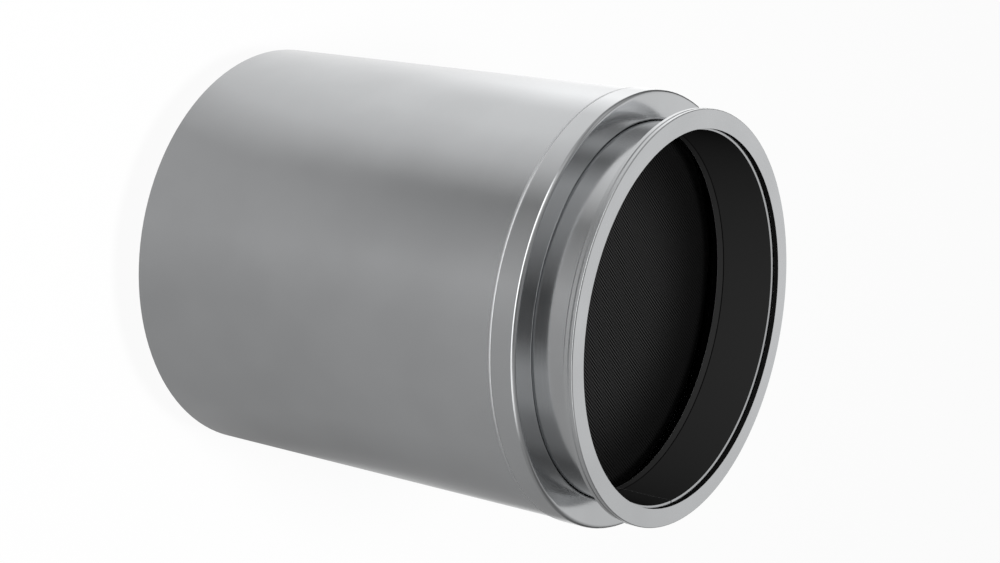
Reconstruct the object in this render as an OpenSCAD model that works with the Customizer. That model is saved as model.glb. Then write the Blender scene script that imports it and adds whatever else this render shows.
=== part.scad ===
// Diesel particulate filter: a wall-flow brick wrapped in a fibre mat, held in a rolled can.
// A pressed inlet cover carries a wide neck with a clamp flange, and a flat outlet cover a smaller one.
// It stands on the face of its outlet flange. +Z runs along the axis towards the inlet, in millimetres.

/* [Filter brick and mat] */
// Diameter of the honeycomb brick
brick_d = 304.8; // [240:0.1:360]
// Length of the brick
brick_l = 279.4; // [150:0.1:380]
// Chamfer on the brick's edges
brick_chamfer = 1; // [0.4:0.1:2]
// Spacing of the channels, drawn ten times coarser than the 1.5 mm of a real brick
channel_pitch = 15.24; // [10:0.01:40]
// Wall between neighbouring channels at that spacing
channel_wall = 3; // [1.5:0.1:6]
// Depth to which the mouths of the channels are cut
channel_depth = 4; // [2:0.5:20]
// Turn of the rows of channels, from +X towards +Y
channel_turn = 18; // [0:1:89]
// Thickness of the fibre mat, squeezed between the brick and the can
mat_t = 4.85; // [3.5:0.05:7]
// Height of the wire-mesh ring at each end of the mat
mesh_h = 8; // [5:0.5:14]
// Distance from a face of the brick to the mesh ring
mesh_setback = 4; // [2:0.5:10]

/* [Can] */
// Wall of the can
can_wall = 1.5; // [1:0.1:2.5]
// Distance from the can's front edge down to the brick
brick_recess = 7.7; // [6.5:0.1:14]
// Distance from the brick down to the can's rear rim
outlet_chamber = 34.9; // [32:0.1:80]
// Width of the weld bead along the can's seam
seam_bead_w = 5; // [3:0.5:8]
// Height of that bead
seam_bead_h = 0.5; // [0.2:0.1:0.7]
// Side of the can that the seam lies on, from +X towards +Y
can_seam_angle = 90; // [60:1:120]

/* [Inlet cover] */
// Wall of both pressed covers
cover_wall = 1.5; // [1:0.1:1.8]
// Height of the skirt from the can's edge to the flat shoulder
skirt_h = 22; // [16:0.5:40]
// How far the skirt stands proud of the can
skirt_proud = 1.45; // [0.8:0.05:3]
// Outer radius of the corner between skirt and shoulder
shoulder_r = 3; // [2:0.1:6]
// Width of the shoulder from the neck to the outside of the skirt
shoulder_w = 21.9; // [14:0.1:50]
// Outer radius of the bend into the collar round each neck
collar_r = 2; // [1.9:0.1:4]
// Depth of each collar, from its cover's outer face
collar_l = 12; // [8:0.5:18]
// Length of the spigot that enters the can
spigot_l = 5; // [3:0.1:6]
// Slope of the joggle between skirt and spigot
joggle_angle = 60; // [45:1:75]
// Inner radius of the joggle's bends
joggle_r = 1; // [0.5:0.1:1.2]

/* [Inlet neck] */
// Wall of the inlet neck
neck_wall = 2.7; // [1.8:0.1:4]
// Distance from the shoulder to the inlet sealing face
neck_out = 40; // [28:0.5:80]
// Width of the open butt seam along the inside of the neck
neck_seam_w = 0.8; // [0.3:0.1:1.5]
// Depth of that seam
neck_seam_depth = 1.3; // [0.3:0.1:1.5]
// Side of the neck that the seam lies on, from +X towards +Y
neck_seam_angle = 14.5; // [0:0.5:90]

/* [Clamp flanges] */
// How far both flanges reach out from their neck
flange_w = 12.5; // [10:0.1:20]
// How far the sealing ring reaches in over the end of its neck
flange_lip = 1.45; // [0.5:0.05:4]
// Thickness of the sealing ring
flange_t = 3.4; // [2.5:0.1:6]
// Radius of the sealing ring's front edge
flange_edge_r = 0.8; // [0.3:0.1:1.5]
// Chamfer on each side of the groove between the two rings of the rim
rim_chamfer = 0.6; // [0.2:0.1:0.9]
// Width of the clamp ring's land
land_w = 3.2; // [2:0.1:5]
// Slope of the clamp ring's back, from square to the axis
flank_angle = 20; // [10:1:30]
// Wall of the clamp ring's hub
hub_wall = 3.5; // [2:0.1:6]
// Length of the hub behind the sloped back
hub_l = 2; // [1:0.1:6]
// Distance from the sealing ring back to the end of the neck
neck_setback = 2; // [1:0.1:4]

/* [Outlet end] */
// Outer diameter of the outlet neck
outlet_d = 152.4; // [80:0.1:220]
// Wall of the outlet neck
outlet_wall = 2; // [1.5:0.1:4]
// Distance from the can's rear rim to the outlet sealing face
outlet_out = 40; // [26:0.5:80]
// How far the outlet cover is set into the can
outlet_recess = 2; // [1:0.1:4]
// Height of the outlet cover's rim along the can's wall
outlet_rim_h = 14; // [8:0.5:17]
// Outer radius of the corner between the outlet cover's plate and its rim
outlet_corner_r = 3; // [2:0.1:6]

/* [Retaining ring] */
// Sheet thickness of the ring behind the brick
retainer_t = 1.5; // [1:0.1:2.5]
// Outer radius of the ring's bend
retainer_r = 3; // [2.6:0.1:5]
// How far the ring reaches in under the brick's edge
retainer_overlap = 5; // [2:0.5:12]
// Height of the ring's wall along the can
retainer_h = 10; // [6:0.5:12]

/* [Welds] */
// Leg of the fillet weld behind each clamp ring
flange_weld_leg = 3; // [1.5:0.1:4]
// Height of the bead over the inner end of each neck and its collar
neck_bead_h = 1.2; // [0.6:0.1:2]
// Leg of the weld between the can and the outlet cover
outlet_weld_leg = 2.2; // [1:0.1:3]
// Height of the crown on the welds that run round the can
crown_h = 0.25; // [0.1:0.05:0.5]

/* [Clearances] */
// Between the mat and what it touches
mat_fit = 0.05; // [0:0.01:0.1]
// Between parts that slide into the can, and between a clamp ring and its neck
slide_fit = 0.1; // [0.05:0.01:0.3]
// Between a neck and the collar of its cover
collar_gap = 0.25; // [0.1:0.05:0.8]
// Between the can's front edge and the first bend of the joggle
joggle_gap = 0.3; // [0.1:0.05:1]
// Between a weld bead and the pieces that it joins
bead_gap = 0.02; // [0.01:0.01:0.05]

/* [Hidden] */
$fn = 128;
ARC_STEP = 10;
CROWN_STEPS = 6;
OVER = 1;
ROOT_ANGLE = -20;
STEEL = "gainsboro";
BEAD = "darkgray";

brick_r = brick_d / 2;
can_ri = brick_r + mat_t;
can_ro = can_ri + can_wall;
skirt_ro = can_ro + skirt_proud;
spigot_ro = can_ri - slide_fit;
neck_ro = skirt_ro - shoulder_w;
neck_ri = neck_ro - neck_wall;
outlet_ro = outlet_d / 2;
outlet_ri = outlet_ro - outlet_wall;

can_l = brick_recess + brick_l + outlet_chamber;
can_z = outlet_out;
can_front_z = can_z + can_l;
shoulder_z = can_front_z + skirt_h;
inlet_z = shoulder_z + neck_out;
brick_z = can_z + outlet_chamber;
brick_top_z = brick_z + brick_l;
outlet_plate_z = can_z + outlet_recess;
neck_end = flange_t + neck_setback;
hub_end = flange_t + land_w + (flange_w - hub_wall) * tan(flank_angle) + hub_l;

joggle_ro = joggle_r + cover_wall;
joggle_bends = joggle_r + joggle_ro;
joggle_in = skirt_ro - spigot_ro - joggle_bends * (1 - cos(joggle_angle));
joggle_low = can_front_z + joggle_gap;
joggle_high = joggle_low + joggle_in / tan(joggle_angle) + joggle_bends * sin(joggle_angle);

// Points on an arc about c, from angle a to angle b
function arc(c, r, a, b) =
    let (n = max(2, ceil(abs(b - a) / ARC_STEP)))
    [for (i = [0:n]) let (t = a + (b - a) * i / n) c + r * [cos(t), sin(t)]];

// Points of a crowned weld face from p to q, raised by h on the right-hand side
function crown(p, q, h) =
    let (u = q - p, side = [u[1], -u[0]] / norm(u))
    [for (i = [0:CROWN_STEPS]) let (t = i / CROWN_STEPS) p + u * t + side * h * sin(180 * t)];

function backwards(p) = [for (i = [len(p) - 1:-1:0]) p[i]];

// Collar round a neck and its bend into a cover whose outer face is at height top, d into the sheet
function collar_face(neck_r, top, d) =
    let (r = neck_r + collar_gap)
    concat([[r + d, top - collar_l]], arc([r + collar_r, top - collar_r], collar_r - d, 180, 90));

// Double bend from the skirt in to the spigot, from angle a on its upper bend, d into the sheet
function joggle_face(a, d) = concat(
    arc([skirt_ro - joggle_ro, joggle_high], joggle_ro - d, a, -joggle_angle),
    arc([spigot_ro + joggle_r, joggle_low], joggle_r + d, 180 - joggle_angle, 180)
);

// Inlet cover from its collar to the end of its spigot, d into the sheet
function inlet_cover_face(d) = concat(
    collar_face(neck_ro, shoulder_z, d),
    arc([skirt_ro - shoulder_r, shoulder_z - shoulder_r], shoulder_r - d, 90, 0),
    joggle_face(0, d),
    [[spigot_ro - d, can_front_z - spigot_l]]
);

// Outlet cover from its collar to the edge of its rim, heights from its outer face, d into the sheet
function outlet_cover_face(d) = concat(
    [for (p = collar_face(outlet_ro, 0, d)) [p[0], -p[1]]],
    arc([spigot_ro - outlet_corner_r, outlet_corner_r], outlet_corner_r - d, -90, 0),
    [[spigot_ro - d, outlet_rim_h]]
);

// Retaining ring from under the brick to the foot of its wall, heights from its upper face
function retainer_face(d) = concat(
    [[brick_r - retainer_overlap, -d]],
    arc([spigot_ro - retainer_r, -retainer_r], retainer_r - d, 90, 0),
    [[spigot_ro - d, -retainer_h]]
);

// Ring of sheet metal between its two faces
module sheet_ring(face, back) {
    rotate_extrude() polygon(concat(face, backwards(back)));
}

module tube(ro, ri, h) {
    difference() {
        cylinder(r = ro, h = h);
        translate([0, 0, -OVER]) cylinder(r = ri, h = h + 2 * OVER);
    }
}

// Flanges are drawn from their sealing face upwards, and the inlet's is turned over
module at_inlet() {
    translate([0, 0, inlet_z]) mirror([0, 0, 1]) children();
}

// Front ring of a flange's rim: it carries the sealing face
module sealing_ring(neck_r) {
    ro = neck_r + flange_w;
    ri = neck_r - flange_lip;
    rotate_extrude() polygon(concat(
        [[ri, 0]],
        arc([ro - flange_edge_r, flange_edge_r], flange_edge_r, -90, 0),
        [[ro, flange_t - rim_chamfer], [ro - rim_chamfer, flange_t], [ri, flange_t]]
    ));
}

// Rear ring of a flange's rim: the clamp pulls on its sloped back
module clamp_ring(neck_r) {
    ro = neck_r + flange_w;
    ri = neck_r + slide_fit;
    hub_r = neck_r + hub_wall;
    rotate_extrude() polygon([
        [ri, flange_t],
        [ro - rim_chamfer, flange_t],
        [ro, flange_t + rim_chamfer],
        [ro, flange_t + land_w],
        [hub_r, hub_end - hub_l],
        [hub_r, hub_end],
        [ri, hub_end]
    ]);
}

// Hollow fillet weld in the corner between a clamp ring's hub and its neck
module flange_weld(neck_r) {
    corner = [neck_r + bead_gap, hub_end + bead_gap];
    leg = min(flange_weld_leg, hub_wall - bead_gap);
    rotate_extrude() polygon(concat([corner], arc(corner + [leg, leg], leg, -90, -180)));
}

// Bead over the flush inner ends of a neck and its collar
module neck_weld(neck_r, wall) {
    collar_edge = [neck_r + collar_gap + cover_wall, bead_gap];
    bore_edge = [neck_r - wall, bead_gap];
    rotate_extrude() polygon(crown(collar_edge, bore_edge, neck_bead_h));
}

// Ring of knitted wire in the gap between brick and can, from height z
module mesh_ring(z) {
    ri = brick_r + mat_fit;
    ro = can_ri - mat_fit;
    r = (ro - ri) / 4;
    rotate_extrude() polygon(concat(
        arc([ri + r, z + r], r, 180, 270),
        arc([ro - r, z + r], r, 270, 360),
        arc([ro - r, z + mesh_h - r], r, 0, 90),
        arc([ri + r, z + mesh_h - r], r, 90, 180)
    ));
}

module inlet_flange() {
    color(STEEL) at_inlet() sealing_ring(neck_ro);
}

module inlet_clamp_ring() {
    color(STEEL) at_inlet() clamp_ring(neck_ro);
}

// Rolled tube with an open butt seam along its inside
module inlet_neck() {
    base = shoulder_z - collar_l;
    h = inlet_z - neck_end - base;
    color(STEEL) translate([0, 0, base])
        difference() {
            tube(neck_ro, neck_ri, h);
            rotate([0, 0, neck_seam_angle])
                translate([neck_ri - OVER, -neck_seam_w / 2, -OVER])
                    cube([OVER + neck_seam_depth, neck_seam_w, h + 2 * OVER]);
        }
}

// One pressing: collar, flat shoulder, skirt, joggle and the spigot inside the can
module inlet_cover() {
    color(STEEL) sheet_ring(inlet_cover_face(0), inlet_cover_face(cover_wall));
}

module can() {
    color(STEEL) translate([0, 0, can_z]) tube(can_ro, can_ri, can_l);
}

// Channels that are open at one end: every other cell of the grid, from the even or the odd ones
module channel_mouths(odd) {
    n = ceil(brick_r / channel_pitch);
    half = (channel_pitch - channel_wall) / 2;
    reach = brick_r - brick_chamfer - channel_wall;
    rotate([0, 0, channel_turn]) for (i = [-n:n - 1], j = [-n:n - 1]) {
        p = [i + 0.5, j + 0.5] * channel_pitch;
        far = [abs(p[0]) + half, abs(p[1]) + half];
        if (norm(far) < reach && (i + j + 2 * n) % 2 == odd)
            translate(p) square(2 * half, center = true);
    }
}

// Honeycomb brick, whose channels are open at one end and plugged at the other by turns
module filter_brick() {
    c = brick_chamfer;
    color("dimgray") translate([0, 0, brick_z]) difference() {
        rotate_extrude() polygon([
            [0, 0], [brick_r - c, 0], [brick_r, c],
            [brick_r, brick_l - c], [brick_r - c, brick_l], [0, brick_l]
        ]);
        translate([0, 0, brick_l - channel_depth]) linear_extrude(channel_depth + OVER) channel_mouths(0);
        translate([0, 0, -OVER]) linear_extrude(channel_depth + OVER) channel_mouths(1);
    }
}

module support_mat() {
    margin = mesh_setback + mesh_h;
    color("slategray") translate([0, 0, brick_z + margin])
        tube(can_ri - mat_fit, brick_r + mat_fit, brick_l - 2 * margin);
}

module inlet_mesh_ring() {
    color("gray") mesh_ring(brick_top_z - mesh_setback - mesh_h);
}

module outlet_mesh_ring() {
    color("gray") mesh_ring(brick_z + mesh_setback);
}

// Angle ring that backs the outlet edge of the brick
module retaining_ring() {
    color(STEEL) translate([0, 0, brick_z - slide_fit])
        sheet_ring(retainer_face(0), retainer_face(retainer_t));
}

module outlet_cover() {
    color(STEEL) translate([0, 0, outlet_plate_z])
        sheet_ring(outlet_cover_face(0), outlet_cover_face(cover_wall));
}

module outlet_neck() {
    color(STEEL) translate([0, 0, neck_end])
        tube(outlet_ro, outlet_ri, outlet_plate_z + collar_l - neck_end);
}

module outlet_flange() {
    color(STEEL) sealing_ring(outlet_ro);
}

module outlet_clamp_ring() {
    color(STEEL) clamp_ring(outlet_ro);
}

// Crowned bead along the can's rolled seam
module can_seam_weld() {
    r = can_ro + bead_gap;
    half_angle = asin(seam_bead_w / 2 / r);
    base = arc([0, 0], r, -half_angle, half_angle);
    face = crown(base[len(base) - 1], base[0], -seam_bead_h);
    color(BEAD) rotate([0, 0, can_seam_angle]) translate([0, 0, can_z])
        linear_extrude(can_l) polygon(concat(base, face));
}

// Bead in the groove between the can's front edge and the joggle
module inlet_cover_weld() {
    root = joggle_face(-joggle_angle / 2, -bead_gap);
    z = can_front_z + bead_gap;
    color(BEAD) rotate_extrude() polygon(concat(
        root,
        [[spigot_ro + bead_gap, z]],
        crown([can_ro, z], root[0], crown_h)
    ));
}

module inlet_flange_weld() {
    color(BEAD) at_inlet() flange_weld(neck_ro);
}

module inlet_neck_weld() {
    color(BEAD) translate([0, 0, shoulder_z - collar_l]) mirror([0, 0, 1])
        neck_weld(neck_ro, neck_wall);
}

// Bead in the groove between the can's wall and the corner of the outlet cover
module outlet_cover_weld() {
    c = [spigot_ro - outlet_corner_r, outlet_plate_z + outlet_corner_r];
    toe_angle = -acos(1 + (slide_fit - outlet_weld_leg) / outlet_corner_r);
    root = arc(c, outlet_corner_r + bead_gap, toe_angle, ROOT_ANGLE);
    wall = can_ri - bead_gap;
    color(BEAD) rotate_extrude() polygon(concat(
        root,
        [[wall, root[len(root) - 1][1]]],
        crown([wall, c[1] - outlet_weld_leg], root[0], -crown_h)
    ));
}

module outlet_neck_weld() {
    color(BEAD) translate([0, 0, outlet_plate_z + collar_l]) neck_weld(outlet_ro, outlet_wall);
}

module outlet_flange_weld() {
    color(BEAD) flange_weld(outlet_ro);
}

inlet_flange();
inlet_clamp_ring();
inlet_neck();
inlet_cover();
can();
filter_brick();
support_mat();
inlet_mesh_ring();
outlet_mesh_ring();
retaining_ring();
outlet_cover();
outlet_neck();
outlet_flange();
outlet_clamp_ring();
can_seam_weld();
inlet_cover_weld();
inlet_flange_weld();
inlet_neck_weld();
outlet_cover_weld();
outlet_neck_weld();
outlet_flange_weld();
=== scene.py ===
"""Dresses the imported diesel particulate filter: honeycomb, weld beads, finishes, studio and camera."""

import logging
import math
from dataclasses import dataclass, field
from enum import Enum
from typing import Callable

import bmesh
import bpy
from mathutils import Matrix, Vector


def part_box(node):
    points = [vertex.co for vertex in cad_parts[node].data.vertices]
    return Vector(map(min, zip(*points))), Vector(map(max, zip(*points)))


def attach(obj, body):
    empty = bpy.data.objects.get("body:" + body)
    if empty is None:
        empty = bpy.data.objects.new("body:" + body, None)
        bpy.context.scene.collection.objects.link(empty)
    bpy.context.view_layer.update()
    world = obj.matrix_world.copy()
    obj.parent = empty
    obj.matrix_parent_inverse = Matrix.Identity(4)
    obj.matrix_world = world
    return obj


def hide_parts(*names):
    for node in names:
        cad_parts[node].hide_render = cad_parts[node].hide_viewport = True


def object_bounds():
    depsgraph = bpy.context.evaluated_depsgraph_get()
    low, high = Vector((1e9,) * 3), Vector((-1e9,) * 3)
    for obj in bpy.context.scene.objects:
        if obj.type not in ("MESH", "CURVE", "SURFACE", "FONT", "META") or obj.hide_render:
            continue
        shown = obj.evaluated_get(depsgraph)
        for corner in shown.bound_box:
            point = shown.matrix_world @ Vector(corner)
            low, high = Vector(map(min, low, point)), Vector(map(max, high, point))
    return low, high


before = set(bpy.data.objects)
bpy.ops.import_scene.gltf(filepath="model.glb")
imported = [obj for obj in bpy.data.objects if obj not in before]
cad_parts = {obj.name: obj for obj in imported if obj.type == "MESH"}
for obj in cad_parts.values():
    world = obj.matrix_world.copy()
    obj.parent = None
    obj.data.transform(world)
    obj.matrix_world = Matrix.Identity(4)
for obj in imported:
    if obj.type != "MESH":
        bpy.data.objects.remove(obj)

CAD_BOX: tuple[Vector, Vector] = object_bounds()
BODY: str = "root"
MM: float = 0.001
MERGE: float = 0.001 * MM
SMOOTH: float = math.radians(35)

Colour = tuple[float, float, float]
Point = tuple[float, float]
STEEL: Colour = (0.606, 0.616, 0.626)

log = logging.getLogger("particulate_filter")


class Slot(Enum):
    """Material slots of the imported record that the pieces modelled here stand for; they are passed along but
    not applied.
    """

    WELD = "weld_steel"
    BRICK = "brick_ceramic"
    WIRE = "wire_mesh"


class End(Enum):
    """The two ends of the filter."""

    INLET = "inlet"
    OUTLET = "outlet"


def rgba(colour: Colour, share: float = 1.0) -> tuple[float, float, float, float]:
    """Give a share of a colour, with full alpha."""
    return (*(share * c for c in colour), 1.0)


@dataclass(frozen=True)
class RingBox:
    """Smallest ring about the axis that holds a CAD node."""

    inner: float
    outer: float
    low: float
    high: float

    @classmethod
    def of(cls, node: str) -> "RingBox":
        """Measure a CAD node.

        Args:
            node: The node's name.

        Returns:
            Its ring.
        """
        points = [v.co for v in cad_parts[node].data.vertices]
        radii = [p.xy.length for p in points]
        low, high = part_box(node)
        return cls(min(radii), max(radii), low.z, high.z)

    @property
    def mid(self) -> float:
        """Height half way up the ring."""
        return (self.low + self.high) / 2

    @property
    def half(self) -> float:
        """Half of the ring's height."""
        return (self.high - self.low) / 2


# ---------------------------------------------------------------- shader nodes


class NodeBench:
    """Adds and links the nodes of one node tree."""

    def __init__(self, tree: bpy.types.NodeTree) -> None:
        """Start on a tree.

        Args:
            tree: The tree that takes the nodes.
        """
        self.tree = tree

    def add(self, kind: str, **settings: object) -> bpy.types.Node:
        """Add a node and set its properties.

        Args:
            kind: The node's type name.
            settings: Properties of the node, by name.

        Returns:
            The new node.
        """
        node = self.tree.nodes.new(kind)
        for name, value in settings.items():
            setattr(node, name, value)
        return node

    def feed(self, socket: bpy.types.NodeSocket, source: object) -> None:
        """Link a socket, or set it to a plain value.

        Args:
            socket: The input socket.
            source: An output socket, a number, or a tuple of numbers.
        """
        if isinstance(source, bpy.types.NodeSocket):
            self.tree.links.new(source, socket)
        else:
            socket.default_value = source

    def math(self, operation: str, *sources: object) -> bpy.types.NodeSocket:
        """Add a Math node.

        Args:
            operation: The operation's name.
            sources: Its inputs, in order.

        Returns:
            The node's output.
        """
        node = self.add("ShaderNodeMath", operation=operation)
        for socket, source in zip(node.inputs, sources):
            self.feed(socket, source)
        return node.outputs["Value"]

    def step(self, value: object, low: object, high: object, first: float = 0.0,
             last: float = 1.0) -> bpy.types.NodeSocket:
        """Ease from one value to another as an input crosses a range.

        Args:
            value: The input.
            low: Input at which the result leaves the first value.
            high: Input at which it reaches the last value.
            first: Result below the range.
            last: Result above the range.

        Returns:
            The eased value.
        """
        node = self.add("ShaderNodeMapRange", interpolation_type="SMOOTHSTEP")
        for name, source in (("Value", value), ("From Min", low), ("From Max", high),
                             ("To Min", first), ("To Max", last)):
            self.feed(node.inputs[name], source)
        return node.outputs["Result"]

    def mix(self, factor: object, a: object, b: object) -> bpy.types.NodeSocket:
        """Mix two colours.

        Args:
            factor: Share of the second colour.
            a: First colour.
            b: Second colour.

        Returns:
            The mixed colour.
        """
        node = self.add("ShaderNodeMix", data_type="RGBA")
        for socket, source in ((node.inputs[0], factor), (node.inputs[6], a), (node.inputs[7], b)):
            self.feed(socket, source)
        return node.outputs[2]

    def noise(self, vector: object, scale: float, detail: float = 3.0) -> bpy.types.NodeSocket:
        """Add a noise texture.

        Args:
            vector: Where the noise is read.
            scale: Scale of the noise, per metre.
            detail: Number of finer layers.

        Returns:
            The noise, from 0 to 1.
        """
        node = self.add("ShaderNodeTexNoise")
        self.feed(node.inputs["Vector"], vector)
        node.inputs["Scale"].default_value = scale
        node.inputs["Detail"].default_value = detail
        return node.outputs["Fac"]

    def point(self) -> bpy.types.NodeSocket:
        """Give the point on the object."""
        return self.add("ShaderNodeTexCoord").outputs["Object"]

    def split(self, vector: object) -> list[bpy.types.NodeSocket]:
        """Part a vector into numbers.

        Args:
            vector: The vector.

        Returns:
            Its x, y and z.
        """
        node = self.add("ShaderNodeSeparateXYZ")
        self.feed(node.inputs[0], vector)
        return list(node.outputs)

    def spin(self, vector: object, angle: float) -> bpy.types.NodeSocket:
        """Turn a vector about the axis.

        Args:
            vector: The vector.
            angle: How far it turns.

        Returns:
            The turned vector.
        """
        node = self.add("ShaderNodeVectorRotate", rotation_type="Z_AXIS")
        self.feed(node.inputs["Vector"], vector)
        node.inputs["Angle"].default_value = angle
        return node.outputs[0]

    def bump(self, shader: bpy.types.Node, height: object, distance: float, strength: float = 1.0) -> None:
        """Let a height stand out on a surface.

        Args:
            shader: The surface's shader.
            height: The height, from 0 to 1.
            distance: How far a height of 1 stands out.
            strength: Share of the effect.
        """
        node = self.add("ShaderNodeBump")
        for name, source in (("Strength", strength), ("Distance", distance), ("Height", height)):
            self.feed(node.inputs[name], source)
        self.feed(shader.inputs["Normal"], node.outputs["Normal"])

    def place(self, group: bpy.types.NodeTree, **values: object) -> bpy.types.Node:
        """Place a node group and set its inputs.

        Args:
            group: The group.
            values: Inputs by name.

        Returns:
            The group's node.
        """
        node = self.add("ShaderNodeGroup", node_tree=group)
        for name, value in values.items():
            self.feed(node.inputs[name], value)
        return node


def new_group(name: str, inputs: dict[str, float], outputs: list[str]) -> tuple[NodeBench, dict, dict]:
    """Start a shader node group whose sockets are all numbers.

    Args:
        name: The group's name.
        inputs: Input names with their defaults.
        outputs: Output names.

    Returns:
        A bench on the group, its inner input sockets and its inner output sockets, by name.
    """
    tree = bpy.data.node_groups.new(name, "ShaderNodeTree")
    for label, default in inputs.items():
        socket = tree.interface.new_socket(label, in_out="INPUT", socket_type="NodeSocketFloat")
        socket.default_value = default
    for label in outputs:
        tree.interface.new_socket(label, in_out="OUTPUT", socket_type="NodeSocketFloat")
    bench = NodeBench(tree)
    source, sink = bench.add("NodeGroupInput"), bench.add("NodeGroupOutput")
    return bench, dict(source.outputs.items()), dict(sink.inputs.items())


def new_material(name: str) -> tuple[bpy.types.Material, NodeBench, bpy.types.Node]:
    """Start a material.

    Args:
        name: The material's name.

    Returns:
        The material, a bench on its nodes, and its surface shader.
    """
    made = bpy.data.materials.new(name)
    made.use_nodes = True
    return made, NodeBench(made.node_tree), made.node_tree.nodes["Principled BSDF"]


class Effects:
    """Shader node groups that several finishes share."""

    line_stretch: float = 12.0

    def __init__(self) -> None:
        """Build each group once."""
        self.axis = self._axis_place()
        self.lines = self._turned_lines()
        self.clouds = self._clouds()

    def _axis_place(self) -> bpy.types.NodeTree:
        """Build the group that gives a point's distance from the axis and its height.

        Returns:
            The group.
        """
        bench, _, out = new_group("axis_place", {}, ["Radius", "Height"])
        x, y, z = bench.split(bench.point())
        square = bench.math("ADD", bench.math("MULTIPLY", x, x), bench.math("MULTIPLY", y, y))
        bench.feed(out["Radius"], bench.math("SQRT", square))
        bench.feed(out["Height"], z)
        return bench.tree

    def _turned_lines(self) -> bpy.types.NodeTree:
        """Build the group of fine lines that run round the axis, on walls and on end faces alike.

        Returns:
            The group.
        """
        bench, given, out = new_group("turned_lines", {"Lines": 2500.0}, ["Fac"])
        x, y, _ = bench.split(bench.point())
        place = bench.place(self.axis).outputs
        across = bench.math("ADD", place["Radius"], place["Height"])
        joined = bench.add("ShaderNodeCombineXYZ")
        scales = (self.line_stretch, self.line_stretch, given["Lines"])
        for socket, source, scale in zip(joined.inputs, (x, y, across), scales):
            bench.feed(socket, bench.math("MULTIPLY", source, scale))
        bench.feed(out["Fac"], bench.noise(joined.outputs[0], 1.0))
        return bench.tree

    def _clouds(self) -> bpy.types.NodeTree:
        """Build the group of soft patches.

        Returns:
            The group.
        """
        bench, given, out = new_group("clouds", {"Scale": 14.0}, ["Fac"])
        scaled = bench.add("ShaderNodeVectorMath", operation="SCALE")
        bench.feed(scaled.inputs[0], bench.point())
        bench.feed(scaled.inputs["Scale"], given["Scale"])
        bench.feed(out["Fac"], bench.noise(scaled.outputs[0], 1.0))
        return bench.tree


# ---------------------------------------------------------------- finishes


@dataclass(frozen=True)
class SteelFinish:
    """Satin stainless steel with fine lines round the axis and soft, dimmer patches."""

    name: str
    colour: Colour = STEEL
    roughness: float = 0.14
    lines: float = 2500.0
    line_depth: float = 0.0
    line_roughness: float = 0.1
    patch_range: Point = (0.3, 0.7)
    patch_share: float = 0.95
    patch_roughness: float = 0.03
    sawn_share: float = 0.5
    sawn_roughness: float = 0.4
    inner_colour: Colour = (0.021, 0.021, 0.021)
    inner_roughness: float = 0.5

    def inner(self, bench: NodeBench, effects: Effects) -> object:
        """Give the colour of the inner side."""
        return rgba(self.inner_colour)

    def inside(self, bench: NodeBench, effects: Effects) -> bpy.types.NodeSocket | None:
        """Tell where the piece is dark, on its inner side; plain steel has none."""
        return None

    def cut(self, bench: NodeBench, effects: Effects) -> bpy.types.NodeSocket | None:
        """Tell where the piece ends in a sawn face; plain steel has none."""
        return None

    def material(self, effects: Effects) -> bpy.types.Material:
        """Make the material: steel, but for matt sawn ends and a matt dark inner side.

        Args:
            effects: The shared node groups.

        Returns:
            The material.
        """
        made, bench, shader = new_material(self.name)
        lines = bench.place(effects.lines, Lines=self.lines).outputs["Fac"]
        clouds = bench.place(effects.clouds).outputs["Fac"]
        patches = bench.step(clouds, *self.patch_range)
        colour = bench.mix(patches, rgba(self.colour), rgba(self.colour, self.patch_share))
        rough: object = self.roughness
        for source, share in ((lines, self.line_roughness), (clouds, self.patch_roughness)):
            rough = bench.math("MULTIPLY_ADD", bench.math("SUBTRACT", source, 0.5), share, rough)
        metal: object = 1.0
        sawn, inside = self.cut(bench, effects), self.inside(bench, effects)
        if sawn is not None:
            colour = bench.mix(sawn, colour, rgba(self.colour, self.sawn_share))
            rough = bench.math("MULTIPLY_ADD", sawn, self.sawn_roughness, rough)
            metal = bench.math("SUBTRACT", metal, sawn)
        if inside is not None:
            colour = bench.mix(inside, colour, self.inner(bench, effects))
            rough = bench.math("MULTIPLY_ADD", inside, self.inner_roughness - self.roughness, rough)
            metal = bench.math("MINIMUM", metal, bench.math("SUBTRACT", 1.0, inside))
            shader.inputs["Specular IOR Level"].default_value = 0.0
        for name, source in (("Base Color", colour), ("Roughness", rough), ("Metallic", metal)):
            bench.feed(shader.inputs[name], source)
        if self.line_depth:
            bench.bump(shader, lines, self.line_depth)
        return made


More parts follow.
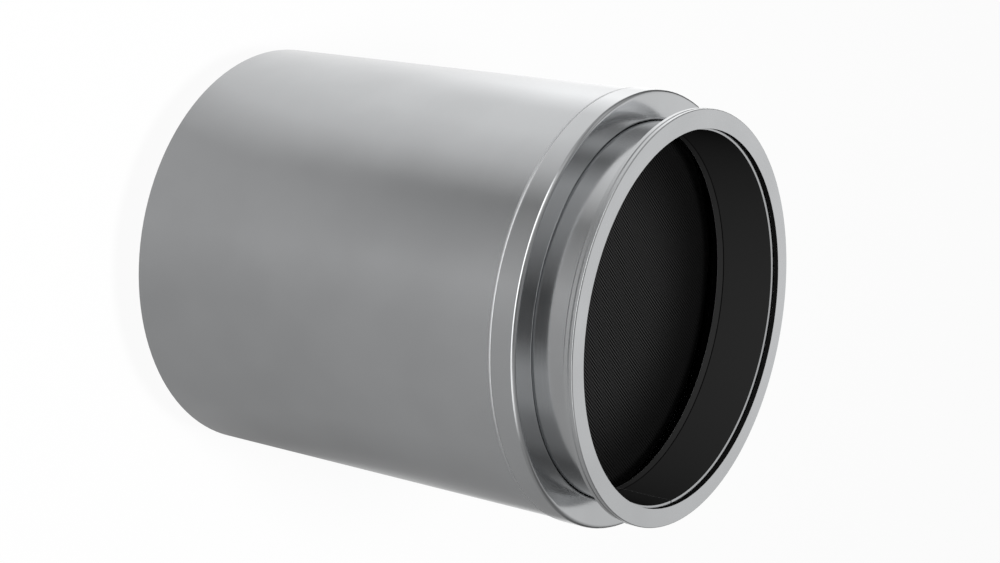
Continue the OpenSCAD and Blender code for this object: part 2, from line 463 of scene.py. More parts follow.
@dataclass(frozen=True)
class BoreFinish(SteelFinish):
    """Steel of a tube or ring, dark in its bore, with sawn ends where it has any.

    The painted light band is the height of a paler foot of the bore, painted light that stands for the lit
    face of a step, under a thin painted shadow line at its edge. A seam is the direction, from +X, of a bare
    line across the sawn ends.
    """

    ring: RingBox | None = None
    reach: float = 0.1 * MM
    reach_blur: float = 0.05 * MM
    bore_margin: float = 0.06 * MM
    # Painted light band and painted shadow line, standing for a step in the bore.
    painted_light_band: float = 0.0
    painted_light_share: float = 1.3
    painted_light_blur: float = 0.1 * MM
    painted_shadow_line: Point = (0.35 * MM, 0.55 * MM)
    painted_shadow_line_share: float = 0.15
    sawn: bool = False
    sawn_margin: float = 0.2 * MM
    seam: float | None = None
    seam_width: float = 0.8 * MM

    def end_share(self, bench: NodeBench, effects: Effects, margin: float) -> bpy.types.NodeSocket:
        """Tell where the two ends are.

        Args:
            bench: The material's node tree.
            effects: The shared node groups.
            margin: How far from an end still counts.

        Returns:
            A mask.
        """
        half = self.ring.half
        away = bench.math("SUBTRACT", bench.place(effects.axis).outputs["Height"], self.ring.mid)
        return bench.step(bench.math("ABSOLUTE", away), half - margin, half - margin / 2)

    def inner(self, bench: NodeBench, effects: Effects) -> object:
        """Give the colour of the bore, with its painted light band and painted shadow line where it has one.

        Args:
            bench: The material's node tree.
            effects: The shared node groups.

        Returns:
            A colour or a socket.
        """
        if not self.painted_light_band:
            return rgba(self.inner_colour)
        edge = self.ring.low + self.painted_light_band
        height = bench.place(effects.axis).outputs["Height"]
        # Painted light: the foot of the bore is paler, standing for the lit face of a step.
        above = bench.step(height, edge - self.painted_light_blur, edge + self.painted_light_blur)
        body = bench.mix(above, rgba(self.inner_colour, self.painted_light_share), rgba(self.inner_colour))
        # Painted shadow: a thin dark line at the edge of the paler foot.
        away = bench.math("ABSOLUTE", bench.math("SUBTRACT", height, edge))
        line = rgba(self.inner_colour, self.painted_shadow_line_share)
        return bench.mix(bench.step(away, *self.painted_shadow_line), line, body)

    def inside(self, bench: NodeBench, effects: Effects) -> bpy.types.NodeSocket:
        """Tell where the bore is, without the ends.

        Args:
            bench: The material's node tree.
            effects: The shared node groups.

        Returns:
            A mask.
        """
        radius, limit = bench.place(effects.axis).outputs["Radius"], self.ring.inner + self.reach
        bore = bench.step(radius, limit - self.reach_blur, limit + self.reach_blur, 1.0, 0.0)
        ends = self.end_share(bench, effects, self.bore_margin)
        return bench.math("MULTIPLY", bore, bench.math("SUBTRACT", 1.0, ends))

    def cut(self, bench: NodeBench, effects: Effects) -> bpy.types.NodeSocket | None:
        """Tell where the sawn ends are, but for the bare line of a butt seam.

        Args:
            bench: The material's node tree.
            effects: The shared node groups.

        Returns:
            A mask, or nothing where the ends aren't sawn.
        """
        if not self.sawn:
            return None
        ends = self.end_share(bench, effects, self.sawn_margin)
        if self.seam is None:
            return ends
        x, y, _ = bench.split(bench.spin(bench.point(), -self.seam))
        beside = bench.step(bench.math("ABSOLUTE", y), self.seam_width / 2, self.seam_width)
        behind = bench.math("LESS_THAN", x, 0.0)
        return bench.math("MULTIPLY", ends, bench.math("MAXIMUM", beside, behind))


@dataclass(frozen=True)
class CoverFinish(SteelFinish):
    """Steel of the pressed inlet cover, dark on its inner side.

    Foot and head are the radius and height of the middle of the sheet below and above its joggle.
    """

    foot: Point = (0.0, 0.0)
    head: Point = (0.0, 0.0)
    top: float = 0.0

    def inside(self, bench: NodeBench, effects: Effects) -> bpy.types.NodeSocket:
        """Tell where the inner side is: within the middle of the sheet, below the shoulder.

        Args:
            bench: The material's node tree.
            effects: The shared node groups.

        Returns:
            A mask.
        """
        place = bench.place(effects.axis).outputs
        middle = bench.step(place["Height"], self.foot[1], self.head[1], self.foot[0], self.head[0])
        within = bench.math("LESS_THAN", place["Radius"], middle)
        return bench.math("MULTIPLY", within, bench.math("LESS_THAN", place["Height"], self.top))


@dataclass(frozen=True)
class CeramicFinish:
    """Matt porous ceramic with paler plugs, with painted shade down its channels and towards its rim."""

    name: str
    ring: RingBox
    pitch: float
    wall: float
    turn: float
    plug: Colour = (0.031, 0.031, 0.031)
    plug_edge: Point = (-0.03, 0.01)
    walls: Colour = (0.001, 0.001, 0.001)
    # Painted shade: near-black colour down the open channels, where shade falls.
    channel: Colour = (0.002, 0.002, 0.002)
    painted_channel_shade_fade: Point = (0.12 * MM, 0.04 * MM)
    roughness: float = 0.85
    grain: float = 2500.0
    grain_range: Point = (0.35, 0.7)
    grain_share: float = 1.35
    grain_depth: float = 0.04 * MM
    grain_strength: float = 0.5
    # Painted shade: the colour dims towards the rim, standing for the shadow of the neck's walls on the brick.
    painted_shade_range: Point = (60 * MM, 132 * MM)
    painted_shade_share: float = 0.14

    def plugs(self, bench: NodeBench, place: bpy.types.NodeSocket) -> bpy.types.NodeSocket:
        """Tell where the plugs lie between the walls.

        Args:
            bench: The material's node tree.
            place: The point.

        Returns:
            A mask.
        """
        share = bench.spin(place, -self.turn)
        for operation, second in (("DIVIDE", (self.pitch,) * 3), ("FRACTION", None),
                                  ("SUBTRACT", (0.5,) * 3), ("ABSOLUTE", None)):
            node = bench.add("ShaderNodeVectorMath", operation=operation)
            bench.feed(node.inputs[0], share)
            if second:
                node.inputs[1].default_value = second
            share = node.outputs[0]
        x, y, _ = bench.split(share)
        edge = 0.5 - self.wall / (2 * self.pitch)
        low, high = (edge + v for v in self.plug_edge)
        return bench.step(bench.math("MAXIMUM", x, y), low, high, 1.0, 0.0)

    def material(self, effects: Effects) -> bpy.types.Material:
        """Make the material.

        Args:
            effects: The shared node groups.

        Returns:
            The material.
        """
        made, bench, shader = new_material(self.name)
        place = bench.place(effects.axis).outputs
        away = bench.math("ABSOLUTE", bench.math("SUBTRACT", place["Height"], self.ring.mid))
        # Painted shade: below the face the colour turns to the near-black channel colour.
        face = bench.step(away, *(self.ring.half - depth for depth in self.painted_channel_shade_fade))
        # Painted shade towards the rim.
        painted_rim_shade = bench.step(place["Radius"], *self.painted_shade_range, 1.0, self.painted_shade_share)
        point = bench.point()
        grain = bench.noise(point, self.grain)
        pale = bench.step(grain, *self.grain_range)
        plug = bench.mix(pale, rgba(self.plug), rgba(self.plug, self.grain_share))
        front = bench.mix(self.plugs(bench, point), rgba(self.walls), plug)
        colour = bench.mix(bench.math("MULTIPLY", face, painted_rim_shade), rgba(self.channel), front)
        bench.feed(shader.inputs["Base Color"], colour)
        shader.inputs["Roughness"].default_value = self.roughness
        bench.bump(shader, grain, self.grain_depth, self.grain_strength)
        return made


@dataclass(frozen=True)
class FibreFinish:
    """Matt pressed fibre, with pale strands that show in soft patches."""

    name: str
    colour: Colour = (0.05, 0.05, 0.05)
    strand: Colour = (0.14, 0.135, 0.13)
    roughness: float = 0.95
    grain: float = 900.0
    grain_detail: float = 4.0
    grain_range: Point = (0.3, 0.7)
    grain_depth: float = 0.3 * MM
    patch_scale: float = 40.0
    patch_range: Point = (0.2, 0.8)
    patch_share: Point = (0.6, 1.0)

    def material(self, effects: Effects) -> bpy.types.Material:
        """Make the material.

        Args:
            effects: The shared node groups.

        Returns:
            The material.
        """
        made, bench, shader = new_material(self.name)
        grain = bench.noise(bench.point(), self.grain, self.grain_detail)
        clouds = bench.place(effects.clouds, Scale=self.patch_scale).outputs["Fac"]
        patches = bench.step(clouds, *self.patch_range, *self.patch_share)
        tone = bench.math("MULTIPLY", bench.step(grain, *self.grain_range), patches)
        bench.feed(shader.inputs["Base Color"], bench.mix(tone, rgba(self.colour), rgba(self.strand)))
        shader.inputs["Roughness"].default_value = self.roughness
        bench.bump(shader, grain, self.grain_depth)
        return made


# ---------------------------------------------------------------- modelling


class Workbench:
    """Edit-mode modelling helpers."""

    @staticmethod
    def clear() -> None:
        """Leave edit mode and deselect everything."""
        if bpy.context.mode != "OBJECT":
            bpy.ops.object.mode_set(mode="OBJECT")
        bpy.ops.object.select_all(action="DESELECT")

    @staticmethod
    def pick(piece: bpy.types.Object) -> None:
        """Select one object alone and make it active.

        Args:
            piece: The object.
        """
        Workbench.clear()
        piece.select_set(True)
        bpy.context.view_layer.objects.active = piece

    @staticmethod
    def edit(mode: str) -> None:
        """Enter edit mode with nothing selected.

        Args:
            mode: VERT, EDGE or FACE.
        """
        bpy.ops.object.mode_set(mode="EDIT")
        bpy.ops.mesh.select_mode(type=mode)
        bpy.ops.mesh.select_all(action="DESELECT")

    @staticmethod
    def select(kind: str, test: Callable[[object], bool]) -> None:
        """Select elements of the mesh in edit mode by a test.

        Args:
            kind: verts, edges or faces.
            test: Whether an element is selected.
        """
        mesh = bpy.context.edit_object.data
        bm = bmesh.from_edit_mesh(mesh)
        for element in getattr(bm, kind):
            element.select_set(test(element))
        bm.select_flush_mode()
        bmesh.update_edit_mesh(mesh)

    @staticmethod
    def close() -> bpy.types.Object:
        """Merge doubles, turn the faces outwards, leave edit mode and shade by angle.

        Returns:
            The active object.
        """
        bpy.ops.mesh.select_all(action="SELECT")
        bpy.ops.mesh.remove_doubles(threshold=MERGE)
        bpy.ops.mesh.normals_make_consistent(inside=False)
        bpy.ops.object.mode_set(mode="OBJECT")
        bpy.ops.object.shade_smooth_by_angle(angle=SMOOTH)
        return bpy.context.active_object


def hand_over(piece: bpy.types.Object, name: str, slot: Slot, material: bpy.types.Material,
              *nodes: str) -> None:
    """Name and dress a finished piece and hang it on the frame.

    Args:
        piece: The piece.
        name: Its name.
        slot: The record's slot that it stands for; not used.
        material: Its material.
        nodes: CAD nodes that it stands for.
    """
    piece.name = piece.data.name = name
    piece.data.materials.clear()
    piece.data.materials.append(material)
    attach(piece, BODY)
    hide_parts(*nodes)
    log.info("%s: %d faces, stands for %s", name, len(piece.data.polygons), ", ".join(nodes))


def dress(material: bpy.types.Material, *nodes: str) -> None:
    """Give CAD nodes a material.

    Args:
        material: The material.
        nodes: The nodes' names.
    """
    for node in nodes:
        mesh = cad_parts[node].data
        mesh.materials.clear()
        mesh.materials.append(material)
        log.info("%s: dressed in %s", node, material.name)


@dataclass
class FilterBrick:
    """The honeycomb brick: open channels alternate with plugged ones at each end."""

    ring: RingBox = field(default_factory=lambda: RingBox.of("filter_brick"))
    cells_across: int = 200
    wall: float = 0.3 * MM
    depth: float = 4.0 * MM
    chamfer: float = 1.0 * MM
    skin: float = 0.8 * MM
    turn: float = math.radians(18)
    outlet_reach: float = 133 * MM
    sides: int = 360
    slack: float = 0.01 * MM

    @property
    def pitch(self) -> float:
        """Distance between the middles of neighbouring channels."""
        return 2 * self.ring.outer / self.cells_across

    def is_open(self, face: bmesh.types.BMFace, end: End) -> bool:
        """Tell whether a face of the grid is the mouth of an open channel.

        Args:
            face: A face of the grid.
            end: The end of the brick.

        Returns:
            Whether the channel is open at that end.
        """
        middle = face.calc_center_median()
        if len(face.verts) != 4 or (end is End.OUTLET and middle.xy.length > self.outlet_reach):
            return False
        column, row = (math.floor(v / self.pitch) for v in middle.xy)
        return (column + row) % 2 == 0

    def face(self, end: End) -> bpy.types.Object:
        """Model one end with its channels and half of the outer skin.

        Args:
            end: The end of the brick.

        Returns:
            The mesh, with its face at the brick's end.
        """
        n, pitch, rim = self.cells_across, self.pitch, self.ring.outer - self.chamfer
        Workbench.clear()
        bpy.ops.mesh.primitive_grid_add(x_subdivisions=n, y_subdivisions=n, size=n * pitch)
        piece = bpy.context.active_object
        Workbench.edit("FACE")
        Workbench.select("faces", lambda f: max(v.co.xy.length for v in f.verts) > rim - self.skin)
        bpy.ops.mesh.delete(type="FACE")
        bpy.ops.mesh.primitive_circle_add(vertices=self.sides, radius=rim)
        bpy.ops.mesh.select_mode(type="EDGE")
        Workbench.select("edges", lambda e: len(e.link_faces) < 2)
        bpy.ops.mesh.fill()
        Workbench.select("edges", lambda e: all(v.co.xy.length > rim - self.slack for v in e.verts))
        bpy.ops.mesh.extrude_edges_move(TRANSFORM_OT_translate={"value": (0, 0, -self.chamfer)})
        grow = self.ring.outer / rim
        bpy.ops.transform.resize(value=(grow, grow, 1), center_override=(0, 0, 0))
        wall = self.ring.half - self.chamfer
        bpy.ops.mesh.extrude_edges_move(TRANSFORM_OT_translate={"value": (0, 0, -wall)})
        bpy.ops.mesh.select_mode(type="FACE")
        Workbench.select("faces", lambda f: self.is_open(f, end) and abs(f.normal.z) > 0.5)
        bpy.ops.mesh.inset(thickness=self.wall / 2, depth=0, use_individual=True)
        bpy.ops.mesh.inset(thickness=0, depth=-self.depth, use_individual=True)
        bpy.ops.object.mode_set(mode="OBJECT")
        return piece

    def split(self, piece: bpy.types.Object, end: End) -> list[bpy.types.Object]:
        """Turn an end into place and part its face, in two halves, from the skin.

        Args:
            piece: The mesh of that end.
            end: The end of the brick.

        Returns:
            The skin and the two halves.
        """
        Workbench.pick(piece)
        rim = self.ring.outer - self.chamfer + self.slack
        parts = [piece]
        for side in (-1, 1):
            Workbench.edit("FACE")
            Workbench.select("faces", lambda f: max(v.co.xy.length for v in f.verts) < rim
                             and f.calc_center_median().x * side > 0)
            bpy.ops.mesh.separate(type="SELECTED")
            bpy.ops.object.mode_set(mode="OBJECT")
            parts.append(next(o for o in bpy.context.selected_objects if o not in parts))
        flip = Matrix.Rotation(math.pi if end is End.OUTLET else 0.0, 4, "X")
        height = self.ring.low if end is End.OUTLET else self.ring.high
        place = Matrix.Translation((0, 0, height)) @ Matrix.Rotation(self.turn, 4, "Z") @ flip
        for part in parts:
            part.matrix_world = place
            part.select_set(True)
        bpy.ops.object.transform_apply()
        return parts

    def build(self, material: bpy.types.Material) -> None:
        """Model the whole brick.

        Args:
            material: The ceramic.
        """
        skins = []
        for end in End:
            skin, *halves = self.split(self.face(end), end)
            skins.append(skin)
            for number, half in enumerate(halves, 1):
                hand_over(half, f"brick_{end.value}_cells_{number}", Slot.BRICK, material, "filter_brick")
        Workbench.pick(skins[0])
        skins[1].select_set(True)
        bpy.ops.object.join()
        Workbench.edit("VERT")
        hand_over(Workbench.close(), "brick_skin", Slot.BRICK, material, "filter_brick")


def ripple_wave(turns: float) -> float:
    """Give a wave between 0 and 1."""
    return 0.5 + 0.5 * math.cos(2 * math.pi * turns)


@dataclass
class WeldBead:
    """A bead round the axis, with the fine crescents that a travelling torch leaves.

    Start and end of the face are pairs of a radius and a height. The edges of a crescent trail behind its
    middle by the lag, in pitches.
    """

    node: str
    start: Point
    end: Point
    rise: float
    depth: float
    ripple: float = 0.07 * MM
    pitch: float = 2.4 * MM
    lag: float = 0.9
    face_steps: int = 6
    ripple_steps: int = 4
    lean: float = 0.5

    @property
    def outward(self) -> Vector:
        """Direction across the section that points out of the bead."""
        along = Vector(self.end) - Vector(self.start)
        return Vector((along.y, -along.x)).normalized()

    def section(self) -> list[Vector]:
        """Draw the closed section.

        Returns:
            Its points as radius and height: the face from start to end, then the root.
        """
        a, b, out = Vector(self.start), Vector(self.end), self.outward
        crown = a.lerp(b, self.lean) + out * 2 * self.rise
        shares = [i / self.face_steps for i in range(self.face_steps + 1)]
        face = [a.lerp(crown, t).lerp(crown.lerp(b, t), t) for t in shares]
        return face + [a.lerp(b, 0.5) - out * self.depth]

    def crescent(self, share: float, travel: float) -> float:
        """Give the height of the ripples at a point of the face.

        Args:
            share: How far across the face the point lies, from 0 to 1.
            travel: How far along the bead it lies.

        Returns:
            The height.
        """
        wave = ripple_wave(travel / self.pitch + self.lag * (2 * share - 1) ** 2)
        return self.ripple * wave * math.sin(math.pi * share)

    def build(self, material: bpy.types.Material) -> None:
        """Model the bead.

        Args:
            material: The weld's finish.
        """
        points, out = self.section(), self.outward
        a, along = Vector(self.start), Vector(self.end) - Vector(self.start)
        radius = (self.start[0] + self.end[0]) / 2
        ripples = round(2 * math.pi * radius / self.pitch)
        Workbench.clear()
        bpy.ops.mesh.primitive_circle_add(vertices=len(points))
        piece = bpy.context.active_object
        for vertex, point in zip(piece.data.vertices, points):
            vertex.co = (point.x, 0, point.y)
        screw = piece.modifiers.new("turn", "SCREW")
        screw.steps = screw.render_steps = ripples * self.ripple_steps
        screw.use_merge_vertices = True
        screw.merge_threshold = MERGE
        bpy.ops.object.modifier_apply(modifier=screw.name)
        Workbench.edit("VERT")
        bm = bmesh.from_edit_mesh(bpy.context.edit_object.data)
        for vertex in bm.verts:
            flat = Vector((vertex.co.xy.length, vertex.co.z)) - a
            share = flat.dot(along) / along.length_squared
            if flat.dot(out) > -self.depth / 2 and 0.0 < share < 1.0:
                turns = math.atan2(vertex.co.y, vertex.co.x) / (2 * math.pi)
                lift = self.crescent(share, turns * ripples * self.pitch)
                vertex.co += Vector((*(vertex.co.xy.normalized() * out.x), out.y)) * lift
        bmesh.update_edit_mesh(bpy.context.edit_object.data)
        hand_over(Workbench.close(), self.node + "_bead", Slot.WELD, material, self.node)


@dataclass
class SeamBead:
    """The bead along the can's rolled seam."""

    node: str = "can_seam_weld"
    ring: RingBox = field(default_factory=lambda: RingBox.of("can_seam_weld"))
    width: float = 5.0 * MM
    ripple: float = 0.09 * MM
    pitch: float = 2.2 * MM
    lag: float = 0.8
    thickness: float = 0.3 * MM
    columns: int = 10
    ripple_steps: int = 4

    def build(self, material: bpy.types.Material) -> None:
        """Model the bead.

        Args:
            material: The weld's finish.
        """
        length = 2 * self.ring.half
        ripples = round(length / self.pitch)
        rise = self.ring.outer - self.ring.inner
        Workbench.clear()
        bpy.ops.mesh.primitive_grid_add(x_subdivisions=self.columns,
                                        y_subdivisions=ripples * self.ripple_steps, size=1)
        Workbench.edit("VERT")
        bm = bmesh.from_edit_mesh(bpy.context.edit_object.data)
        for vertex in bm.verts:
            across, along = vertex.co.x, vertex.co.y + 0.5
            bend = (2 * across) ** 2
            wave = ripple_wave(along * ripples + self.lag * bend)
            radius = self.ring.inner + (rise - self.ripple + self.ripple * wave) * (1 - bend)
            angle = math.pi / 2 - across * self.width / radius
            height = self.ring.low + along * length
            vertex.co = (radius * math.cos(angle), radius * math.sin(angle), height)
        bmesh.update_edit_mesh(bpy.context.edit_object.data)
        piece = Workbench.close()
        solid = piece.modifiers.new("thickness", "SOLIDIFY")
        solid.thickness, solid.offset = self.thickness, -1.0
        bpy.ops.object.modifier_apply(modifier=solid.name)
        hand_over(piece, self.node + "_bead", Slot.WELD, material, self.node)


@dataclass
class WireRing:
    """A ring of knitted wire that shields one end of the mat."""

    node: str
    wire: float = 0.32 * MM
    stitches: int = 160
    rows: int = 8

    def build(self, material: bpy.types.Material) -> None:
        """Model the ring.

        Args:
            material: The wire's finish.
        """
        ring = RingBox.of(self.node)
        half = (ring.outer - ring.inner - self.wire) / 2
        tall = ring.half - self.wire / 2
        Workbench.clear()
        bpy.ops.mesh.primitive_torus_add(major_segments=self.stitches, minor_segments=self.rows,
                                         major_radius=(ring.inner + ring.outer) / 2, minor_radius=half)
        piece = bpy.context.active_object
        Workbench.edit("FACE")
        bpy.ops.mesh.select_all(action="SELECT")
        bpy.ops.transform.resize(value=(1, 1, tall / half), center_override=(0, 0, 0))
        bpy.ops.transform.translate(value=(0, 0, ring.mid))
        bpy.ops.mesh.poke()
        bpy.ops.mesh.tris_convert_to_quads(face_threshold=math.pi, shape_threshold=math.pi)
        bpy.ops.object.mode_set(mode="OBJECT")
        wires = piece.modifiers.new("wires", "WIREFRAME")
        wires.thickness, wires.use_even_offset = self.wire, False
        bpy.ops.object.modifier_apply(modifier=wires.name)
        bpy.ops.object.shade_smooth()
        hand_over(piece, self.node + "_knit", Slot.WIRE, material, self.node)


# ---------------------------------------------------------------- studio


@dataclass
class LightTent:
    """A graded tent that shows only in reflections, as cards laid round polished steel do.

    Tones are pairs of a direction, in degrees from +Y towards -X, and a brightness.
    """

    radius: float = 2.6
    segments: int = 48
    rings: int = 24
    drop: float = 0.1 * MM
    near_to_far: Point = (0.15, 0.75)
    edge: Point = (1.15, 1.6)
    edge_limit: float = 1.2
    strip_foot: Point = (0.0, 0.05)
    strip_top: Point = (0.8, 1.1)
    roof: Point = (1.9, 2.3)
    near_tones: tuple[Point, ...] = (
        (0, 1.1), (45, 0.95), (80, 0.95), (120, 0.78), (145, 0.46), (180, 0.47), (205, 0.39), (260, 0.34),
        (285, 0.26), (300, 0.3), (325, 0.85))
    far_tones: tuple[Point, ...] = (
        (0, 1.4), (20, 1.5), (40, 1.15), (60, 1.4), (80, 0.88), (100, 0.88), (120, 0.66), (140, 0.27),
        (178, 0.5), (200, 0.43), (260, 0.38), (318, 0.27), (340, 1.2))
    strip_tones: tuple[Point, ...] = (
        (0, 0.4), (40, 0.1), (80, 0.3), (95, 0.5), (121, 0.5), (137, 2.4), (180, 2.6), (215, 1.7), (228, 1.5),
        (240, 1.0), (254, 0.3), (280, 0.3), (320, 0.1))
    wall_tones: tuple[Point, ...] = (
        (0, 0.86), (40, 0.75), (50, 0.32), (62, 0.4), (74, 0.62), (90, 0.24), (112, 0.65), (150, 0.4),
        (180, 0.1), (205, 0.15), (225, 0.56), (245, 0.52), (256, 0.34), (276, 0.26), (290, 0.13), (306, 0.18),
        (322, 0.38))
    roof_tone: float = 0.3

    @staticmethod
    def ramp(bench: NodeBench, turn: bpy.types.NodeSocket, tones: tuple[Point, ...]) -> bpy.types.NodeSocket:
        """Blend tones round the axis.

        Args:
            bench: The tent's node tree.
            turn: Direction as a share of a full turn.
            tones: The tones.

        Returns:
            The tone in that direction.
        """
        node = bench.add("ShaderNodeValToRGB")
        stops = node.color_ramp.elements
        for stop, (angle, tone) in zip((stops[0], stops[1]), (tones[0], (360, tones[0][1]))):
            stop.position, stop.color = angle / 360, rgba((tone,) * 3)
        for angle, tone in tones[1:]:
            stops.new(angle / 360).color = rgba((tone,) * 3)
        bench.feed(node.inputs["Fac"], turn)
        return node.outputs["Color"]

    def material(self, effects: Effects) -> bpy.types.Material:
        """Make the tent's glow.

        Args:
            effects: The shared node groups.

        Returns:
            The material.
        """
        made, bench, _ = new_material("graded_tent")
        made.cycles.emission_sampling = "NONE"
        x, y, _ = bench.split(bench.point())
        angle = bench.math("ARCTAN2", bench.math("MULTIPLY", x, -1.0), y)
        turn = bench.math("WRAP", bench.math("DIVIDE", angle, 2 * math.pi), 1.0, 0.0)
        near, far, strip, wall = (self.ramp(bench, turn, tones) for tones in (
            self.near_tones, self.far_tones, self.strip_tones, self.wall_tones))
        place = bench.place(effects.axis).outputs
        radius, height = place["Radius"], place["Height"]
        tone = bench.mix(bench.step(radius, *self.near_to_far), near, far)
        tone = bench.mix(bench.step(radius, *self.edge), tone, bench.math("MINIMUM", strip, self.edge_limit))
        tone = bench.mix(bench.step(height, *self.strip_foot), tone, strip)
        tone = bench.mix(bench.step(height, *self.strip_top), tone, wall)
        tone = bench.mix(bench.step(height, *self.roof), tone, rgba((self.roof_tone,) * 3))
        glow = bench.add("ShaderNodeEmission")
        bench.feed(glow.inputs["Color"], tone)
        bench.feed(made.node_tree.nodes["Material Output"].inputs["Surface"], glow.outputs[0])
        return made

    def build(self, effects: Effects) -> None:
        """Set up the tent: half a ball, closed by a floor.

        Args:
            effects: The shared node groups.
        """
        Workbench.clear()
        bpy.ops.mesh.primitive_uv_sphere_add(segments=self.segments, ring_count=self.rings, radius=self.radius)
        tent = bpy.context.active_object
        Workbench.edit("VERT")
        bpy.ops.mesh.select_all(action="SELECT")
        bpy.ops.mesh.bisect(plane_co=(0, 0, 0), plane_no=(0, 0, 1), clear_inner=True, use_fill=True)
        bpy.ops.object.mode_set(mode="OBJECT")
        tent.name = "tent"
        tent.location.z = -self.drop
        tent.visible_camera = tent.visible_diffuse = tent.visible_transmission = False
        tent.visible_volume_scatter = tent.visible_shadow = False
        tent.data.materials.append(self.material(effects))


@dataclass
class Studio:
    """A plain pale floor in a white room, with one soft lamp."""

    floor_size: float = 16.0
    floor_drop: float = 0.2 * MM
    floor_colour: Colour = (0.86, 0.86, 0.86)
    floor_roughness: float = 0.9
    glow: float = 0.95
    room: float = 0.065
    key_turn: float = math.radians(176)
    key_rise: float = math.radians(67)
    key_distance: float = 2.2
    key_size: float = 0.5
    key_power: float = 48.0

    def shown(self, bench: NodeBench) -> bpy.types.NodeSocket:
        """Tell where the room is seen: by the camera, in a reflection or through glass.

        Args:
            bench: The node tree that asks.

        Returns:
            1 where it is seen and 0 where it only lights.
        """
        path = bench.add("ShaderNodeLightPath")
        seen = bench.math("MAXIMUM", path.outputs["Is Camera Ray"], path.outputs["Is Glossy Ray"])
        return bench.math("MAXIMUM", seen, path.outputs["Is Transmission Ray"])

    def floor(self) -> None:
        """Lay the floor, which reads white and keeps a faint shadow."""
        Workbench.clear()
        bpy.ops.mesh.primitive_plane_add(size=self.floor_size, location=(0, 0, -self.floor_drop))
        floor = bpy.context.active_object
        floor.name = "floor"
        made, bench, shader = new_material("pale_floor")
        shader.inputs["Base Color"].default_value = rgba(self.floor_colour)
        shader.inputs["Roughness"].default_value = self.floor_roughness
        shader.inputs["Specular IOR Level"].default_value = 0.0
        glow = bench.add("ShaderNodeEmission")
        both = bench.add("ShaderNodeMixShader")
        bench.feed(both.inputs[0], bench.math("MULTIPLY", self.shown(bench), self.glow))
        bench.feed(both.inputs[1], shader.outputs[0])
        bench.feed(both.inputs[2], glow.outputs[0])
        bench.feed(made.node_tree.nodes["Material Output"].inputs["Surface"], both.outputs[0])
        floor.data.materials.append(made)

    def world(self) -> None:
        """Light the room evenly, at a lower level than it shows."""
        world = bpy.data.worlds.new("room")
        world.use_nodes = True
        bpy.context.scene.world = world
        bench = NodeBench(world.node_tree)
        background = world.node_tree.nodes["Background"]
        background.inputs["Color"].default_value = rgba((1.0, 1.0, 1.0))
        strength = bench.math("MULTIPLY_ADD", self.shown(bench), 1.0 - self.room, self.room)
        bench.feed(background.inputs["Strength"], strength)

    def key(self) -> None:
        """Hang the soft key lamp, whose mirror image is part of the tent."""
        data = bpy.data.lights.new("key", "AREA")
        data.shape, data.size, data.energy = "DISK", self.key_size, self.key_power
        lamp = bpy.data.objects.new("key", data)
        flat = self.key_distance * math.cos(self.key_rise)
        place = Vector((-flat * math.sin(self.key_turn), flat * math.cos(self.key_turn),
                        self.key_distance * math.sin(self.key_rise)))
        aim = (Vector((0, 0, CAD_BOX[1].z)) - place).to_track_quat("-Z", "Y")
        lamp.matrix_world = Matrix.Translation(place) @ aim.to_matrix().to_4x4()
        lamp.visible_glossy = False
        bpy.context.scene.collection.objects.link(lamp)

    def build(self) -> None:
        """Set up the studio."""
        self.floor()
        self.world()
        self.key()
        bpy.context.scene.view_settings.view_transform = "Standard"


@dataclass
class ViewPoint:
    """The camera, placed where the photograph was taken from."""

    location: Vector = field(default_factory=lambda: Vector((0.0, -1.33179, 1.14649)))
    back: Vector = field(default_factory=lambda: Vector((0.00200, -0.83248, 0.55406)))
    up: Vector = field(default_factory=lambda: Vector((-0.98390, -0.10070, -0.14774)))
    lens: float = 76.29
    sensor: float = 36.0

    def build(self) -> None:
        """Make the camera and set it."""
        back = self.back.normalized()
        right = self.up.cross(back).normalized()
        turn = Matrix((right, back.cross(right), back)).transposed()
        data = bpy.data.cameras.new("camera")
        data.lens, data.sensor_width = self.lens, self.sensor
        camera = bpy.data.objects.new("camera", data)
        camera.matrix_world = Matrix.Translation(self.location) @ turn.to_4x4()
        bpy.context.scene.collection.objects.link(camera)
        bpy.context.scene.camera = camera


def beads() -> list[WeldBead]:
    """Place the beads that run round the axis.

    Returns:
        The beads.
    """
    can, names = RingBox.of("can"), ("cover", "neck", "flange")
    cover, neck, flange = (RingBox.of(f"inlet_{n}_weld") for n in names)
    far_cover, far_neck, far_flange = (RingBox.of(f"outlet_{n}_weld") for n in names)
    skirt_step, can_step, root = 0.25 * MM, 0.17 * MM, 0.8 * MM
    leg, sag = flange.outer - flange.inner, 0.12
    fillet = {"rise": -sag * leg, "depth": leg / math.sqrt(2)}
    return [
        WeldBead("inlet_cover_weld", start=(can.outer, cover.low), end=(cover.outer - skirt_step, cover.high),
                 rise=0.72 * MM, depth=root, ripple=0.02 * MM, face_steps=10, lean=0.3),
        WeldBead("inlet_flange_weld", start=(flange.inner, flange.low), end=(flange.outer, flange.high),
                 **fillet),
        WeldBead("inlet_neck_weld", start=(neck.inner, neck.high), end=(neck.outer, neck.high),
                 rise=2 * neck.half, depth=0.0),
        WeldBead("outlet_cover_weld", start=(far_cover.inner, far_cover.low),
                 end=(far_cover.outer, far_cover.high - can_step), rise=0.25 * MM, depth=root),
        WeldBead("outlet_neck_weld", start=(far_neck.outer, far_neck.low), end=(far_neck.inner, far_neck.low),
                 rise=2 * far_neck.half, depth=0.0),
        WeldBead("outlet_flange_weld", start=(far_flange.outer, far_flange.low),
                 end=(far_flange.inner, far_flange.high), **fillet),
    ]


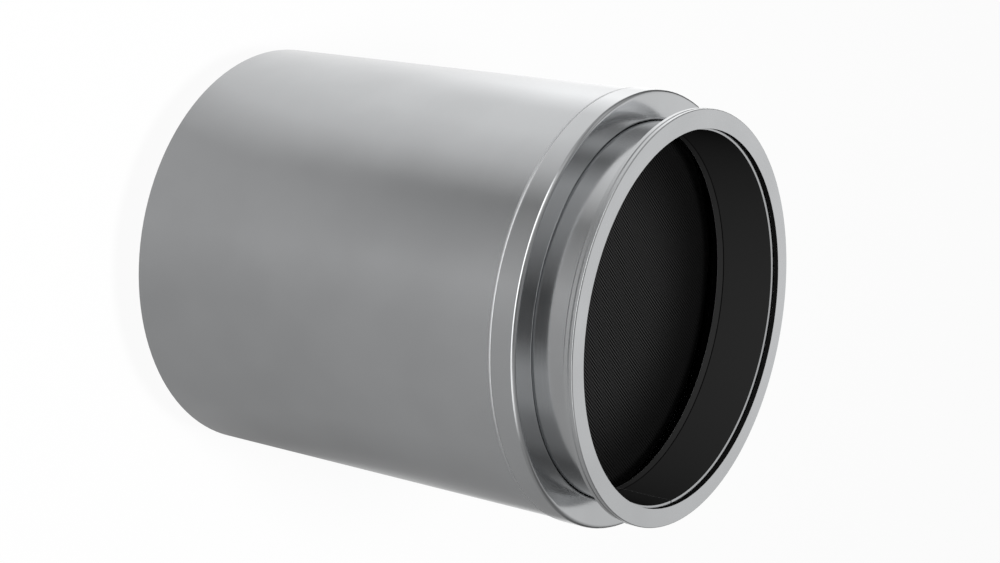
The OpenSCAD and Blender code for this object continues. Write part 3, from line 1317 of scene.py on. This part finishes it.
def dress_solids(effects: Effects) -> None:
    """Give the CAD nodes that stay in view their finishes.

    Args:
        effects: The shared node groups.
    """
    can, cover, weld = (RingBox.of(n) for n in ("can", "inlet_cover", "inlet_cover_weld"))
    wall = can.outer - can.inner
    shoulder = 1.8 * wall
    hooded = CoverFinish("pressed_cover", foot=(can.inner - wall / 2, weld.low),
                         head=(cover.outer - wall / 2, weld.high + wall), top=cover.high - shoulder)
    dress(SteelFinish("satin_sheet", roughness=0.18).material(effects), "can", "retaining_ring")
    dress(SteelFinish("pressed_sheet").material(effects), "outlet_cover")
    dress(hooded.material(effects), "inlet_cover")
    # The inlet neck's bore gets a painted light band with a painted shadow line above it.
    marks = {End.INLET: {"painted_light_band": 5.3 * MM, "seam": math.radians(14.5)}, End.OUTLET: {}}
    reaches = {"flange": 1.2 * MM, "clamp_ring": 0.3 * MM}
    for end in End:
        neck = f"{end.value}_neck"
        tube = BoreFinish(neck + "_tube", inner_colour=(0.028, 0.028, 0.028), ring=RingBox.of(neck), sawn=True,
                          **marks[end])
        dress(tube.material(effects), neck)
        for part, reach in reaches.items():
            node = f"{end.value}_{part}"
            turned = BoreFinish(node + "_turned", roughness=0.22, lines=4000.0, line_depth=0.004 * MM,
                                inner_colour=(0.008, 0.008, 0.008), ring=RingBox.of(node), reach=reach)
            dress(turned.material(effects), node)
    dress(FibreFinish("pressed_fibre").material(effects), "support_mat")


def main() -> None:
    """Build every piece in order, then the studio and the camera."""
    logging.basicConfig(level=logging.INFO)
    effects = Effects()
    dress_solids(effects)

    brick = FilterBrick()
    ceramic = CeramicFinish("dark_ceramic", ring=brick.ring, pitch=brick.pitch, wall=brick.wall,
                            turn=brick.turn)
    brick.build(ceramic.material(effects))
    weld = SteelFinish("weld_bead", roughness=0.42, lines=1500.0).material(effects)
    for bead in (*beads(), SeamBead()):
        bead.build(weld)
    wire = SteelFinish("knitted_wire", colour=(0.22, 0.22, 0.22), roughness=0.4).material(effects)
    for end in End:
        WireRing(f"{end.value}_mesh_ring").build(wire)

    Studio().build()
    LightTent().build(effects)
    ViewPoint().build()


if __name__ == "__main__":
    main()
